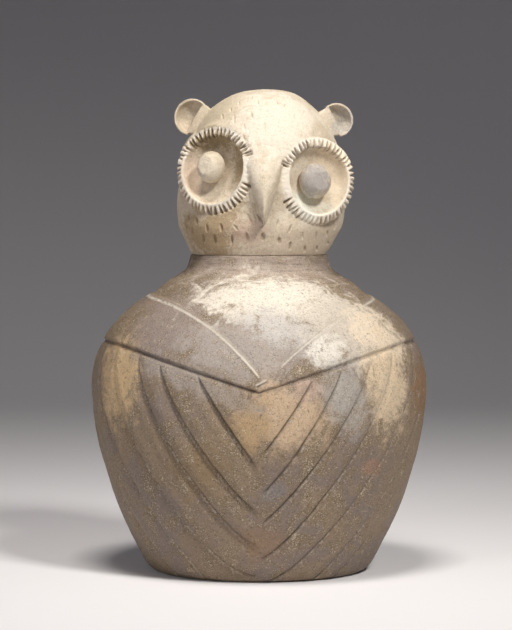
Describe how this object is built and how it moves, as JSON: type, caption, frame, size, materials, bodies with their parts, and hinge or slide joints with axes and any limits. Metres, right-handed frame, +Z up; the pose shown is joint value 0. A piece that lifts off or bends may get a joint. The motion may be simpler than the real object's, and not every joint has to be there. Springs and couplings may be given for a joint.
{
  "type": "owl-shaped lidded jar",
  "caption": "Large hollow pottery jar in the shape of a standing owl, with carved folded wings and feathers and a lift-off lid modelled as the owl's head.",
  "frame": {"origin": "centre of the jar's flat foot, on the surface that it stands on", "axes": "+Z up along the jar's axis, the owl faces -Y, +X to the viewer's right when the owl faces the viewer"},
  "size_m": [0.3466, 0.349, 0.4993],
  "materials": {
    "jar_clay": "burnished slip over fired brown clay, worn and stained",
    "head_clay": "matte cream slip over fired buff clay"
  },
  "bodies": {
    "root": {"jar": "jar_clay", "owl_head_lid": "head_clay"}
  },
  "joints": []
}
